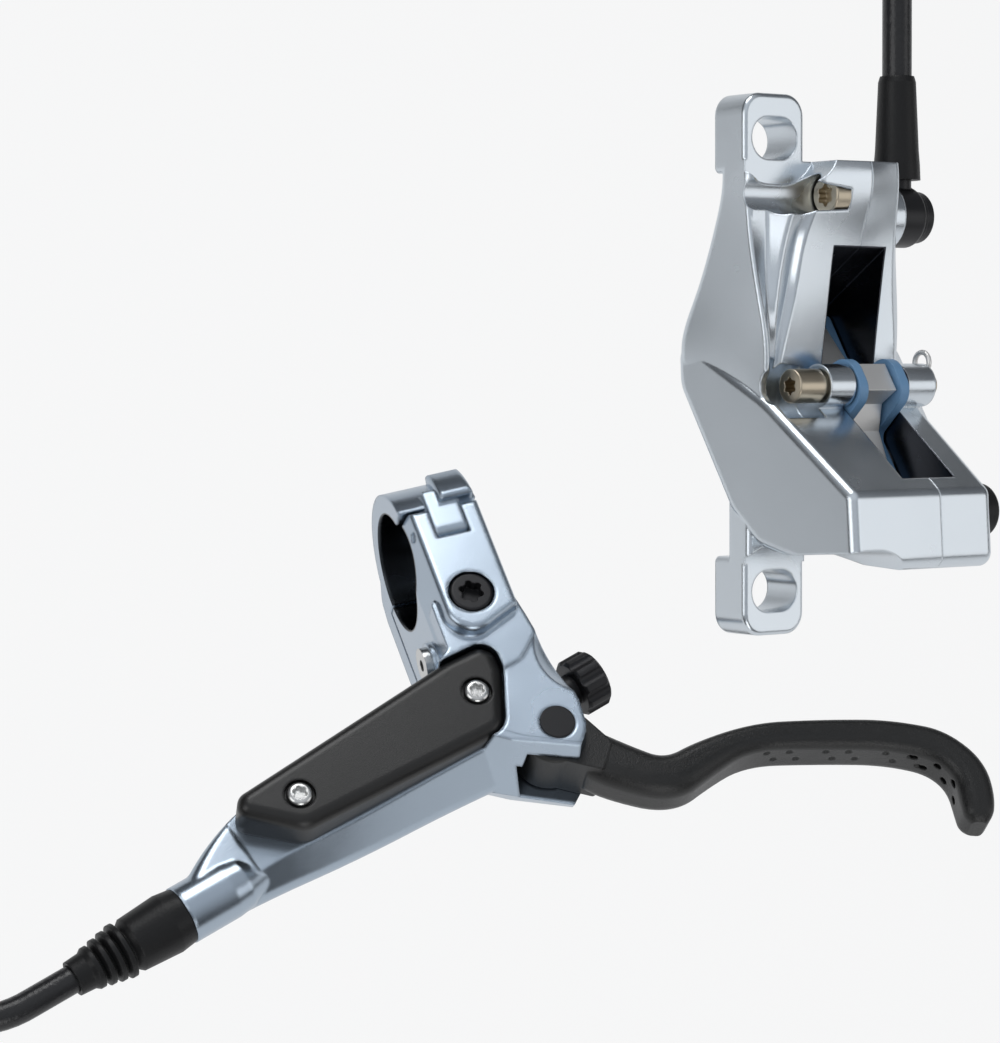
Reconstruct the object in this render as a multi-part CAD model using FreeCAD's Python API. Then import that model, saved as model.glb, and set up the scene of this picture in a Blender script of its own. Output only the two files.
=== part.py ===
import FreeCAD, Part
import math
import os

# Hydraulic bicycle disc brake: left-hand lever with master cylinder, hose and post-mount caliper.
# Millimetres. The origin is the centre of the handlebar clamp, +X runs outboard along the bar,
# +Y points back to the rider and +Z points up.

# Shared clearances
running_clearance = 0.05
thread_clearance = 0.03
seat_clearance = 0.15
free_clearance = 0.3

# Handlebar clamp
bar_radius = 11.1
clamp_width = 15.0
clamp_top = 15.0
clamp_bottom = -13.2
clamp_front = -19.7
split_top = 3.3
split_low = -1.2
cheek_inset = 1.9
cheek_start = 7.0
shoulder_slant = 6.6
clamp_corners = [0.0, 0.0, 0.6, 5.0]
band_thickness = 3.7
band_gap = 0.7
lug_thickness = 4.6
lug_length = 20.8
hinge_pin_radius = 1.0
hinge_y = -0.9
hinge_z = 13.1
hinge_eye_radius = 1.85
tongue_width = 6.0
tongue_x = 0.9
knuckle_width = 6.4
knuckle_x = 3.6
knuckle_height = 2.6
clamp_bolt_y = -15.4
clamp_bolt_radius = 2.5
clamp_head_radius = 3.9
clamp_head_height = 4.2

# Bleed screw in the inboard cheek of the lever body
lever_bleed_y = -20.6
lever_bleed_z = 1.0
lever_bleed_radius = 2.2
lever_bleed_length = 5.5
lever_bleed_head_radius = 3.2
lever_bleed_head_height = 1.4
lever_bleed_boss = 0.8

# Master cylinder, laid at an angle to the bar
cylinder_angle = 16.5
cylinder_end_x = -65.5
cylinder_end_y = -56.4
cylinder_z = 0.5
barrel_radius = 5.3
barrel_length = 14.8
bore_radius = 4.2
bore_start = 36.0
bore_mouth = 64.5
outlet_radius = 1.0
port_radius = 4.0
port_depth = 11.5

# Reservoir rim and cover
rim_base = 2.4
rim_rise = 0.0805
cover_top = 12.0
cover_edge = 2.2
cover_wall = 2.4
bladder_thickness = 1.0
bladder_depth = 2.6
reservoir_depth = 3.2
beside_bore = 5.6
cover_screw_radius = 1.5
cover_head_radius = 2.35
cover_head_height = 1.7
cover_head_proud = 0.5
cover_screws_at = [(26.4, 4.3), (64.6, 4.6)]

# Clevis and blade pivot, along and across the cylinder
pivot_u = 73.3
pivot_v = -8.06
pivot_radius = 3.0
pivot_cap_radius = 3.15
pivot_cap_depth = 1.2
bushing_wall = 0.8
bushing_height = 4.2
slot_floor = -2.5
slot_roof = 8.5
trunnion_roof = 5.4
jaw_top = 11.8
jaw_bottom = -6.5
neck_top = 12.3
neck_bottom = -7.0
slot_back_v = 7.5
hub_radius = 6.2
trunnion_radius = 3.0
trunnion_arm_radius = 4.2
trunnion_lead = 1.75
blade_gap = 0.1
dimple_start = 44.1
dimple_pitch = 4.05
dimple_group = 10.6
dimple_row = 2.6
dimple_height = 5.0
dimple_radius = 0.95
dimple_depth = 0.35
hook_centre = (66.0, -77.0)
hook_first = 72.0
hook_pitch = 20.0
hook_hole_radius = 0.75
hook_hole_depth = 1.6

# Pushrod and reach knob
pushrod_radius = 1.5
rod_way_half = 1.7
pushrod_tip_u = 59.2
knob_radius = 5.5
knob_thickness = 5.2
knob_start_u = 84.6
knob_flutes = 10
knob_flute_radius = 1.5
knob_flute_depth = 0.55
knob_neck_radius = 3.1

# Master piston
piston_back_u = 61.2
piston_length = 16.0
piston_waist_radius = 2.9
seal_width = 1.5
stop_ring_width = 0.9
stop_ring_radius = 4.9
spring_wire_radius = 0.4
spring_turns = 3

# Hose, nut and boot at the lever
hose_radius = 2.5
hose_bend_share = 0.45
hose_straight = 46.0
hose_bow = [(-150, -31, 5), (-140, 28, 26), (-105, 77, 52), (-51, 97, 84), (6, 92, 108), (45, 70, 124)]
nut_head_radius = 4.4
nut_head_length = 5.5
nut_length = 7.0
olive_length = 2.4
boot_length = 22.0
boot_radius = 5.5
boot_tail_radius = 3.4
boot_ribs = 4

# Caliper place: its own frame has X towards the wheel's inside, Y towards the hub, Z along the mounts
caliper_origin = (38.0, -21.3, 81.1)
caliper_yaw = 2.015
caliper_pitch = 21.753
caliper_roll = -52.178

# Caliper mounts
mount_spacing = 74.0
ear_width = 12.8
ear_thickness = 7.5
ear_reach = 7.3
ear_root = 5.6
ear_corner = 3.6
ear_edge = 0.8
neck_front = -8.6
neck_edge = 1.0
upper_neck_back = -1.4
lower_neck_back = -3.0
slot_length = 9.6
slot_width = 7.0
spot_radius = 7.6

# Caliper body
rotor_x = 15.0
nose_front = -31.0
caliper_bottom = -33.0
outboard_flank_x = -7.4
inboard_flank_x = 26.6
flank_slope = 0.116
slab_edge = 1.6
bank_wall = 1.8
bank_floor = 2.4
pad_lean = 33.0
pin_y = -13.6
pin_z = -3.4
pin_above_pad = 6.9
pocket_half = 5.7

# Pads, pistons and pin
rotor_gap = 2.8
lining_thickness = 2.2
plate_thickness = 1.8
plate_half = 19.0
plate_depth = 14.0
pad_end_clearance = 1.3
pad_slot_half = plate_half + pad_end_clearance
piston_radius = 7.0
piston_pitch = 18.0
piston_inset = 7.2
caliper_piston_length = 7.0
piston_retract = 0.9
square_seal = 1.6
seal_setback = 2.0
pin_radius = 2.0
pin_head_radius = 2.8
pin_head_x = -2.0
pin_head_length = 5.4
pin_end_x = 28.6
pin_boss_radius = 3.6
pin_boss_x = 3.9
pin_pocket_x = -4.4
pin_pocket_radius = 5.4
inboard_boss_length = 6.2
boss_root = [(-3.4, 0.0), (3.4, 0.0), (2.9, 6.0), (-2.9, 6.0)]
spring_strip = 0.45
clip_wire = 0.45

# Caliper bolts and ports
body_bolt_radius = 1.9
body_head_radius = 3.1
body_head_height = 3.0
top_head_x = 8.0
top_bolt_y = -10.8
top_bolt_z = 27.8
top_bolt_reach = 6.0
low_bolt_x = 5.0
low_head_x = 26.4
low_bolt_y = -18.2
low_bolt_z = -28.0
seal_seat_y = -1.6
seal_seat_z = 26.6
seal_recess_radius = 2.4
banjo_y = -4.0
banjo_z = 25.0
banjo_seat_x = 27.0
banjo_thickness = 5.0
banjo_radius = 5.2
banjo_neck_radius = 2.45
banjo_bolt_radius = 3.0
banjo_thread_depth = 7.6
banjo_head_radius = 4.4
banjo_head_height = 1.8
washer_radius = 4.6
washer_thickness = 0.6
caliper_boot_length = 15.5
bleed_y = -25.6
bleed_z = -24.0
bleed_bottom_x = 21.6
bleed_seat_x = 26.2
bleed_thread_radius = 2.4
bleed_head_length = 2.2
bleed_head_radius = 3.0
bleed_cap_radius = 4.5
bleed_cap_height = 3.2

os.makedirs("parts", exist_ok=True)
V = FreeCAD.Vector
FAR = 300.0


def cylinder(radius, start, direction, length):
    return Part.makeCylinder(radius, length, start, direction)


def tube(outer, inner, start, direction, length):
    return cylinder(outer, start, direction, length).cut(cylinder(inner, start, direction, length))


def box(low, high):
    return Part.makeBox(high[0] - low[0], high[1] - low[1], high[2] - low[2], V(*low))


def rounded_wire(points, radii):
    """Closed wire through coplanar points, with an arc of the given radius at each corner."""
    corners = []
    for index, point in enumerate(points):
        before = (points[index - 1] - point).normalize()
        after = (points[(index + 1) % len(points)] - point).normalize()
        half = before.getAngle(after) / 2
        radius = radii[index]
        reach = radius / math.tan(half)
        middle = (before + after).normalize()
        crown = point + middle * (radius / math.sin(half) - radius)
        corners.append((point + before * reach, crown, point + after * reach, radius))
    edges = []
    for index, (first, crown, last, radius) in enumerate(corners):
        if radius > 0:
            edges.append(Part.Arc(first, crown, last).toShape())
        edges.append(Part.makeLine(last, corners[(index + 1) % len(corners)][0]))
    return Part.Wire(edges)


def prism(outline, low, high, radii):
    """Upright block on a plan outline, with one radius for all its corners or one for each."""
    if not isinstance(radii, list):
        radii = [radii] * len(outline)
    wire = rounded_wire([V(x, y, low) for x, y in outline], radii)
    return Part.Face(wire).extrude(V(0, 0, high - low))


def keep_below(point, normal):
    """Block that fills the space on the far side of a plane, for cutting."""
    block = Part.makeBox(2 * FAR, 2 * FAR, 2 * FAR, V(-FAR, -FAR, 0))
    block.Placement = FreeCAD.Placement(point, FreeCAD.Rotation(V(0, 0, 1), normal))
    return block


def soften(shape, radius, wanted):
    """Round the wanted edges."""
    return shape.makeFillet(radius, [edge for edge in shape.Edges if wanted(edge)])


def turned(profile, start, direction):
    """Solid of revolution from (distance along, radius) pairs."""
    points = [V(radius, 0, along) for along, radius in profile]
    face = Part.Face(Part.makePolygon(points + points[:1]))
    solid = face.revolve(V(0, 0, 0), V(0, 0, 1), 360)
    solid.Placement = FreeCAD.Placement(start, FreeCAD.Rotation(V(0, 0, 1), direction))
    return solid


def loft(wires):
    """Smooth solid through closed wires."""
    return Part.makeLoft(wires, True, False, False, 2)


def fuse(shapes):
    return shapes[0].fuse(shapes[1:]).removeSplitter()


def save(name, shape):
    shape.exportStep("parts/" + name + ".step")


# Places along the master cylinder: u along the bore, v towards the bar, w up
turn = math.radians(cylinder_angle)
bore_axis = V(math.cos(turn), math.sin(turn), 0)
bore_side = V(-math.sin(turn), math.cos(turn), 0)
upward = V(0, 0, 1)
bore_end = V(cylinder_end_x, cylinder_end_y, cylinder_z)


def at(u, v, w=0.0):
    return bore_end + bore_axis * u + bore_side * v + upward * w


def plan(u, v):
    point = at(u, v)
    return (point.x, point.y)


pivot_x, pivot_y = plan(pivot_u, pivot_v)
trunnion_u = pivot_u + trunnion_lead
trunnion_x, trunnion_y = plan(trunnion_u, 0)
cover_outline = [(17.4, 10.1), (63.3, 12.9), (70.6, 12.4), (72.3, 9.8), (71.3, 5.9),
                 (64.8, -4.0), (24.0, -1.7), (15.3, 7.2)]
cover_corners = [2.5, 6.0, 2.4, 2.4, 3.0, 4.0, 5.0, 2.4]
rim_point = at(0, 0, rim_base)
rim_normal = (upward - bore_axis * rim_rise).normalize()


def rim_height(u):
    return rim_base + rim_rise * u


def cover_block(inset, low, high):
    """Upright block on the cover's outline, drawn in by an inset."""
    points = [V(*plan(u, v), low) for u, v in cover_outline]
    wire = rounded_wire(points, cover_corners)
    if inset:
        wire = wire.makeOffset2D(-inset)
    return Part.Face(wire).extrude(V(0, 0, high - low))


# Lever body: one casting with the clamp's front half, reservoir, cylinder and clevis
def barrel_section(u, radius):
    points = [at(u, radius * 1.1547 * math.cos(math.radians(120 - 60 * k)),
                 radius * 1.1547 * math.sin(math.radians(120 - 60 * k))) for k in (0, 5, 4, 3, 2, 1)]
    return rounded_wire(points, [radius * 0.8] * 6)


def reservoir_section(u, front_top, front, keel, back, depth):
    rim = rim_height(u) + 0.4
    points = [at(u, front_top, rim), at(u, front, -2.2), at(u, front + keel, -depth),
              at(u, back - 1.6 * keel, -depth), at(u, back - 1.4, -1.5), at(u, back, rim)]
    return rounded_wire(points, [0.8, 3.0, 3.5, 4.0, 3.5, 0.8])


def clamp_outline(inset):
    """Plan of the clamp's front half: a slanted shoulder in front, and the inboard side drawn in."""
    half = clamp_width / 2
    slant = shoulder_slant / clamp_width
    return [(-half + inset, split_top), (half, split_top), (half, clamp_front),
            (-half + inset, clamp_front - slant * (clamp_width - inset))]


# Level sections of the clevis block, from below. Corners run from the cylinder round the front to the bar
clevis_sections = [
    (jaw_bottom + 0.05, [(-7.0, -44.0), (-0.9, -47.5), (9.6, -52.0), (11.4, -49.5), (11.4, -41.0),
                         (-1.0, -37.0), (-8.0, -40.0)]),
    (slot_floor + 0.5, [(-7.5, -46.0), (-0.8, -49.2), (8.8, -53.6), (12.0, -50.4), (12.0, -41.2),
                        (-1.0, -37.0), (-8.0, -40.0)]),
    (jaw_top - 0.1, [(-6.5, -41.6), (-2.0, -44.4), (9.6, -48.8), (11.6, -46.0), (11.6, -40.4),
                     (0.0, -36.0), (-6.0, -38.0)])]


def make_lever_body():
    barrel = loft([barrel_section(3.0, barrel_radius - 0.5),
                   reservoir_section(19.5, -1.2, -6.0, 3.0, 10.6, 5.6),
                   reservoir_section(30.0, -2.2, -6.9, 3.4, 11.2, 6.6),
                   reservoir_section(50.0, -3.4, -8.2, 4.0, 12.3, 7.2),
                   reservoir_section(67.5, -4.6, -9.8, 4.2, 13.0, 7.4)])
    above_rim = keep_below(rim_point, rim_normal).cut(keep_below(at(barrel_length, 0), bore_axis * -1))
    sleeve = turned([(0, 0), (0, barrel_radius), (port_depth - 2.5, barrel_radius),
                     (port_depth + 0.5, barrel_radius - 0.35), (port_depth + 4.5, barrel_radius - 1.9),
                     (port_depth + 4.5, 0)], bore_end, bore_axis)
    barrel = fuse([barrel, sleeve]).cut(above_rim)
    half = clamp_width / 2
    clamp = fuse([prism(clamp_outline(0), clamp_bottom, cheek_start, clamp_corners),
                  Part.makeLoft([rounded_wire([V(x, y, z) for x, y in clamp_outline(inset)], clamp_corners)
                                 for z, inset in ((cheek_start, 0), (clamp_top, cheek_inset))], True, True)])
    clamp = clamp.cut(box((-FAR, split_low, -FAR), (FAR, FAR, 0)))
    heel = Part.makePolygon([V(-FAR, -40, clamp_bottom - 1), V(-FAR, -17.5, clamp_bottom - 1),
                             V(-FAR, -17.5, clamp_bottom), V(-FAR, -24.5, neck_bottom),
                             V(-FAR, -40, neck_bottom), V(-FAR, -40, clamp_bottom - 1)])
    clamp = clamp.cut(Part.Face(heel).extrude(V(2 * FAR, 0, 0)))
    clamp = soften(clamp, 1.0, lambda e: abs(e.CenterOfMass.z - clamp_top) < 0.01)
    neck = prism([(-half + 0.3, -14.0), (half, -14.0), (8.8, -21.0), (9.4, -25.0), (5.0, -29.5),
                  (-8.0, -33.0), (-22.0, -35.0), (-12.0, -28.6), (-half + 0.3, -24.0)],
                 neck_bottom, neck_top, 1.2)
    boss = cylinder(lever_bleed_head_radius + 0.7, bleed_screw_seat, V(1, 0, 0), 6.0)
    upper = prism([(8.2, -19.0), (11.7, -34.4), (12.4, -40.0), (12.0, -45.0), (10.2, -48.4), (0.0, -44.0),
                   (-6.0, -40.0), (-6.0, -27.0), (0.0, -21.0)], slot_roof - 3.2, jaw_top, 1.0)
    scoop = Part.makeSphere(13.0, V(17.8, -30.0, 20.2))
    upper = upper.cut(scoop)
    # block of the clevis, widest at the slot's floor
    rings = [[V(x, y, z) for x, y in corners] for z, corners in clevis_sections]
    clevis = Part.makeLoft([Part.makePolygon(ring + ring[:1]) for ring in rings], True, True)
    return fuse([barrel, clamp, neck, upper, clevis, boss])


def cut_lever_body(body):
    body = body.cut(cylinder(bar_radius, V(-FAR, 0, 0), V(1, 0, 0), 2 * FAR))
    # window, eye and pin hole of the clamp hinge
    window_half = tongue_width / 2 + 0.2
    body = body.cut(box((tongue_x - window_half, hinge_y - hinge_eye_radius - 0.3, 0),
                        (tongue_x + window_half, FAR, FAR)))
    body = body.cut(cylinder(hinge_pin_radius, V(-FAR, hinge_y, hinge_z), V(1, 0, 0), 2 * FAR))
    # clamp bolt
    body = body.cut(cylinder(clamp_bolt_radius + 0.25, V(0, clamp_bolt_y, -FAR), upward, 2 * FAR))
    body = body.cut(cylinder(clamp_head_radius + 0.35, V(0, clamp_bolt_y, clamp_top - clamp_head_height),
                             upward, FAR))
    # seat of the cover, and the reservoir under it
    pocket = cover_block(-seat_clearance, -20.0, 40.0).common(keep_below(rim_point, rim_normal))
    body = body.cut(pocket)
    floor = rim_point - upward * reservoir_depth
    well = cover_block(cover_wall + 1.0, -20.0, 40.0).common(keep_below(floor, rim_normal))
    well = well.common(keep_below(at(0, beside_bore), bore_side))
    lands = [cylinder(cover_head_radius + 0.9, at(u, v, -20), upward, 60) for u, v in cover_screws_at]
    body = body.cut(well.cut(lands[0]).cut(lands[1]))
    for u, v in cover_screws_at:
        start = at(u, v, rim_height(u) - 4.0)
        body = body.cut(cylinder(cover_screw_radius + thread_clearance, start, upward, 20))
    # clevis slot: full height round the hub, low over the trunnion
    hub = cylinder(hub_radius + 0.7, V(pivot_x, pivot_y, slot_floor), upward, slot_roof - slot_floor)
    front = prism([plan(pivot_u - 8.8, -40), plan(pivot_u - 8.8, pivot_v - 2.0), plan(pivot_u - 4.6, pivot_v),
                   plan(pivot_u + 3.2, pivot_v),
                   plan(pivot_u + 3.2, slot_back_v), plan(140, slot_back_v), plan(140, -40)],
                  slot_floor, slot_roof, 0.0)
    low = prism([plan(bore_mouth, -40), plan(bore_mouth, slot_back_v), plan(140, slot_back_v),
                 plan(140, -40)], slot_floor, trunnion_roof, 0.0)
    body = body.cut(fuse([hub, front, low]))
    body = body.cut(cylinder(pivot_radius, V(pivot_x, pivot_y, jaw_bottom - 1), upward, FAR))
    body = body.cut(cylinder(pivot_cap_radius, V(pivot_x, pivot_y, jaw_top - pivot_cap_depth), upward, FAR))
    # cylinder bore, stop ring groove, ports
    body = body.cut(cylinder(bore_radius, at(bore_start, 0), bore_axis, bore_mouth - bore_start + 1))
    groove = piston_back_u + free_clearance
    body = body.cut(cylinder(stop_ring_radius, at(groove, 0), bore_axis, stop_ring_width + 0.1))
    body = body.cut(cylinder(outlet_radius, at(port_depth - 1, 0), bore_axis, bore_start - port_depth + 2))
    body = body.cut(cylinder(port_radius, at(-1, 0), bore_axis, port_depth + 1))
    body = body.cut(cylinder(outlet_radius * 0.6, at(bore_start + 6.0, 4.0, 0), upward, 12))
    # bleed screw hole in the inboard cheek
    body = body.cut(cylinder(lever_bleed_radius, bleed_screw_seat, V(1, 0, 0), lever_bleed_length + 0.4))
    return body.cut(cylinder(lever_bleed_head_radius + seat_clearance, bleed_screw_seat, V(-1, 0, 0), FAR))


bleed_screw_seat = V(-clamp_width / 2 - lever_bleed_boss, lever_bleed_y, lever_bleed_z)
save("lever_body", cut_lever_body(make_lever_body()))

# Bleed screw in its boss on the inboard cheek
bleed_shank = cylinder(lever_bleed_radius - thread_clearance, bleed_screw_seat, V(1, 0, 0),
                       lever_bleed_length)
bleed_head = cylinder(lever_bleed_head_radius, bleed_screw_seat, V(-1, 0, 0), lever_bleed_head_height)
drive = cylinder(lever_bleed_radius / 2, bleed_screw_seat - V(1.5, 0, 0), V(1, 0, 0), 2.0)
save("lever_bleed_screw", bleed_shank.fuse(bleed_head).cut(drive))


# Clamp band: rear half ring with a hinged tongue above and a lug for the bolt below
def make_band():
    half = clamp_width / 2
    outer = bar_radius + band_thickness
    ring = cylinder(outer, V(-half, 0, 0), V(1, 0, 0), clamp_width)
    gap_top = split_top + band_gap
    ring = ring.cut(box((-FAR, -FAR, 0), (FAR, gap_top, FAR)))
    ring = ring.cut(box((-FAR, -FAR, -FAR), (FAR, split_low + band_gap, 0)))
    lug_top = clamp_bottom - band_gap
    lug_low = lug_top - lug_thickness
    lug = [V(-half, 7.5, -bar_radius), V(-half, 4.0, lug_low + 1.2), V(-half, 0, lug_low),
           V(-half, -lug_length, lug_low), V(-half, -lug_length, lug_top),
           V(-half, split_low + band_gap, lug_top), V(-half, split_low + band_gap, -bar_radius)]
    lug = Part.Face(rounded_wire(lug, [2.0, 3.0, 3.0, 1.8, 1.0, 0.3, 0.0])).extrude(V(clamp_width, 0, 0))
    knuckle_start = V(knuckle_x - knuckle_width / 2, 0, 0)
    knuckle = cylinder(outer + knuckle_height, knuckle_start, V(1, 0, 0), knuckle_width)
    knuckle = knuckle.cut(box((-FAR, -FAR, -FAR), (FAR, gap_top, FAR)))
    knuckle = knuckle.cut(keep_below(V(0, 0, 0), V(0, 1, -0.92)))
    knuckle = soften(knuckle, 0.8, lambda e: math.hypot(e.CenterOfMass.y, e.CenterOfMass.z) > outer)
    tongue = box((tongue_x - tongue_width / 2, hinge_y, hinge_z - hinge_eye_radius),
                 (tongue_x + tongue_width / 2, gap_top + 3.0, hinge_z + hinge_eye_radius))
    eye_start = V(tongue_x - tongue_width / 2, hinge_y, hinge_z)
    eye = cylinder(hinge_eye_radius, eye_start, V(1, 0, 0), tongue_width)
    band = fuse([ring, lug, knuckle, tongue, eye])
    band = band.cut(cylinder(bar_radius, V(-FAR, 0, 0), V(1, 0, 0), 2 * FAR))
    pin_start = V(-FAR, hinge_y, hinge_z)
    band = band.cut(cylinder(hinge_pin_radius + running_clearance, pin_start, V(1, 0, 0), 2 * FAR))
    return band.cut(cylinder(clamp_bolt_radius + thread_clearance, V(0, clamp_bolt_y, -FAR), upward, FAR))


save("clamp_band", make_band())
hinge_half = clamp_width / 2 - cheek_inset
save("clamp_hinge_pin", cylinder(hinge_pin_radius, V(-hinge_half, hinge_y, hinge_z), V(1, 0, 0),
                                 hinge_half + clamp_width / 2))


def torx_socket(centre, direction, radius, depth):
    """Six-lobed drive recess as a cutting tool."""
    side = direction.cross(V(0.3, 0.5, 0.81)).normalize()
    lobes = [cylinder(radius * 0.78, centre - direction * depth, direction, depth + 1)]
    for step in range(6):
        arm = FreeCAD.Rotation(direction, 60 * step).multVec(side) * (radius * 0.74)
        lobes.append(cylinder(radius * 0.26, centre - direction * depth + arm, direction, depth + 1))
    return fuse(lobes)


def screw(head_top, direction, head_radius, head_height, shank_radius, length, drive, dome=0.0):
    """Headed screw: the direction points out of its head."""
    head = cylinder(head_radius, head_top - direction * head_height, direction, head_height)
    if dome:
        head = soften(head, dome, lambda e: e.CenterOfMass.distanceToPoint(head_top) < 0.01)
    shank = cylinder(shank_radius, head_top - direction * (head_height + length), direction, length + 0.2)
    return fuse([head, shank]).cut(torx_socket(head_top, direction, drive, head_height * 0.55))


clamp_bolt_length = clamp_top - clamp_head_height - clamp_bottom + band_gap + lug_thickness - free_clearance
save("clamp_bolt", screw(V(0, clamp_bolt_y, clamp_top), upward, clamp_head_radius, clamp_head_height,
                         clamp_bolt_radius, clamp_bolt_length, 2.3, 0.5))


# Reservoir cover: black lid with a hollow underside that clamps the bladder
def make_cover():
    cover = cover_block(0, -20.0, cover_top)
    cover = soften(cover, cover_edge, lambda e: abs(e.CenterOfMass.z - cover_top) < 0.01)
    cover = cover.common(keep_below(rim_point, rim_normal))
    step = rim_point + upward * bladder_thickness
    cover = cover.cut(cover_block(cover_wall / 2, -20, 40).cut(keep_below(step, rim_normal)))
    hollow = cover_block(cover_wall + 1.2, -20, cover_top - 1.8)
    lands = [cylinder(cover_head_radius + 1.0, at(u, v, -20), upward, 60) for u, v in cover_screws_at]
    cover = cover.cut(hollow.cut(lands[0]).cut(lands[1]))
    for u, v in cover_screws_at:
        x, y = plan(u, v)
        cover = cover.cut(cylinder(cover_screw_radius + 0.1, V(x, y, -10), upward, 60))
        head_seat = V(x, y, cover_top - cover_head_height + cover_head_proud)
        cover = cover.cut(cylinder(cover_head_radius + 0.45, head_seat, upward, 20))
    return cover


save("reservoir_cover", make_cover())


# Rubber bladder between cover and rim, with a shallow pan in the reservoir
def make_bladder():
    edge = cover_wall / 2 + 0.1
    sheet = cover_block(edge, -20, 40).common(keep_below(rim_point, rim_normal))
    sheet = sheet.cut(keep_below(rim_point + upward * (bladder_thickness - 0.02), rim_normal))
    pan_wall = cover_wall + 2.0
    pan = cover_block(pan_wall, -20, 40).common(keep_below(rim_point - upward * bladder_depth, rim_normal))
    pan = pan.cut(keep_below(rim_point + upward * 0.2, rim_normal))
    pan = pan.common(keep_below(at(0, beside_bore + free_clearance), bore_side))
    hollow = cover_block(pan_wall + bladder_thickness, -20, 40)
    hollow = hollow.common(keep_below(rim_point - upward * (bladder_depth - bladder_thickness), rim_normal))
    hollow = hollow.common(keep_below(at(0, beside_bore + free_clearance + bladder_thickness), bore_side))
    bladder = fuse([sheet, pan]).cut(hollow)
    for u, v in cover_screws_at:
        bladder = bladder.cut(cylinder(cover_head_radius + 1.4, at(u, v, -20), upward, 60))
    return bladder


save("reservoir_bladder", make_bladder())
cover_screws = []
for u, v in cover_screws_at:
    x, y = plan(u, v)
    top = V(x, y, cover_top + cover_head_proud)
    reach = top.z - cover_head_height - (cylinder_z + rim_height(u) - 3.6)
    cover_screws.append(screw(top, upward, cover_head_radius, cover_head_height, cover_screw_radius, reach,
                              1.35, 0.9))
save("cover_screws", Part.makeCompound(cover_screws))


# Lever blade: hub at the pivot, arm to the trunnion, cranked two-finger blade with a hooked end
bushing_radius = pivot_radius + running_clearance + bushing_wall
blade_low = slot_floor + blade_gap
blade_high = slot_roof - blade_gap
blade_stations = [(13.2, -48.6, -40, 8.6, 10.6), (20.0, -54.2, -33, 8.2, 10.4), (27.4, -56.2, 4, 7.8, 10.2),
                  (34.0, -54.4, 16, 6.4, 10.0), (42.0, -53.6, -8, 5.2, 10.0), (56.0, -56.4, -15, 5.6, 10.0),
                  (68.0, -60.2, -24, 5.8, 10.0), (74.6, -64.0, -42, 6.0, 10.0), (77.8, -69.0, -74, 6.2, 10.0),
                  (77.9, -74.4, -100, 6.4, 9.6), (76.9, -78.2, -106, 5.6, 8.6),
                  (76.3, -80.2, -110, 2.8, 5.6)]


def blade_section(x, y, heading, width, height):
    side = V(-math.sin(math.radians(heading)), math.cos(math.radians(heading)), 0)
    centre = V(x, y, (slot_floor + slot_roof) / 2)
    points = [centre + side * (sign_v * width / 2) + upward * (sign_w * height / 2)
              for sign_v, sign_w in ((1, 1), (1, -1), (-1, -1), (-1, 1))]
    return rounded_wire(points, [width * 0.3, width * 0.3, width * 0.42, width * 0.42])


def make_blade():
    finger = loft([blade_section(*station) for station in blade_stations])
    height = blade_high - blade_low
    hub = cylinder(hub_radius, V(pivot_x, pivot_y, blade_low), upward, height)
    hub = soften(hub, 0.6, lambda e: abs(e.Length - 2 * math.pi * hub_radius) < 0.01)
    web = prism([(pivot_x - 1.0, pivot_y - hub_radius + 0.6), (13.0, -53.0), (16.4, -48.0), (13.0, -41.6),
                 (pivot_x + 2.0, pivot_y + hub_radius - 0.7)], blade_low + 0.03, blade_high - 0.03, 0.8)
    arm_high = trunnion_roof - free_clearance
    side = V(pivot_x - trunnion_x, pivot_y - trunnion_y, 0).normalize()
    cross = V(-side.y, side.x, 0) * (trunnion_arm_radius - 0.2)
    near = V(trunnion_x, trunnion_y, blade_low)
    far = V(pivot_x, pivot_y, blade_low)
    arm = Part.Face(Part.makePolygon([near + cross, near - cross, far - cross, far + cross, near + cross]))
    arm = arm.extrude(upward * (arm_high - blade_low))
    eye = cylinder(trunnion_arm_radius, near, upward, arm_high - blade_low)
    arm = fuse([arm, eye])
    rod_way = box((trunnion_u - 12, -trunnion_arm_radius + 0.2, -rod_way_half),
                  (trunnion_u + 12, 9, rod_way_half))
    rod_way.Placement = FreeCAD.Placement(bore_end, FreeCAD.Rotation(upward, cylinder_angle))
    blade = fuse([hub, web, finger, arm.cut(rod_way)])
    blade = blade.cut(cylinder(bushing_radius, V(pivot_x, pivot_y, -FAR), upward, 2 * FAR))
    trunnion_start = V(trunnion_x, trunnion_y, -FAR)
    return blade.cut(cylinder(trunnion_radius + running_clearance, trunnion_start, upward, 2 * FAR))


def surface_point(shape, start, direction):
    """Point where a ray first meets a shape."""
    inside = shape.common(Part.makeLine(start, start + direction * 60))
    return min((vertex.Point for vertex in inside.Vertexes), key=start.distanceToPoint)


def drill_blade(blade):
    """Grip dimples along the finger in three groups of two rows, and blind holes round the hook."""
    inward = V(0.27, 0.96, 0).normalize()
    dimples = []
    for group in range(3):
        for row in range(2):
            for step in range(2):
                along = dimple_start + dimple_group * group + dimple_pitch * (step + 0.4 * row)
                mark = surface_point(blade, V(along, -80, dimple_height - dimple_row * row), V(0, 1, 0))
                dimples.append(Part.makeSphere(dimple_radius, mark - inward * (dimple_radius - dimple_depth)))
    for row in range(2):
        for step in range(3):
            angle = math.radians(hook_first - hook_pitch * (step + 0.5 * row))
            outward = V(math.cos(angle), math.sin(angle), 0)
            mark = surface_point(blade, V(*hook_centre, dimple_height - dimple_row * row), outward)
            dimples.append(cylinder(hook_hole_radius, mark - outward, outward, 1 + hook_hole_depth))
    for dimple in dimples:
        blade = blade.cut(dimple)
    return blade


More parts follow.
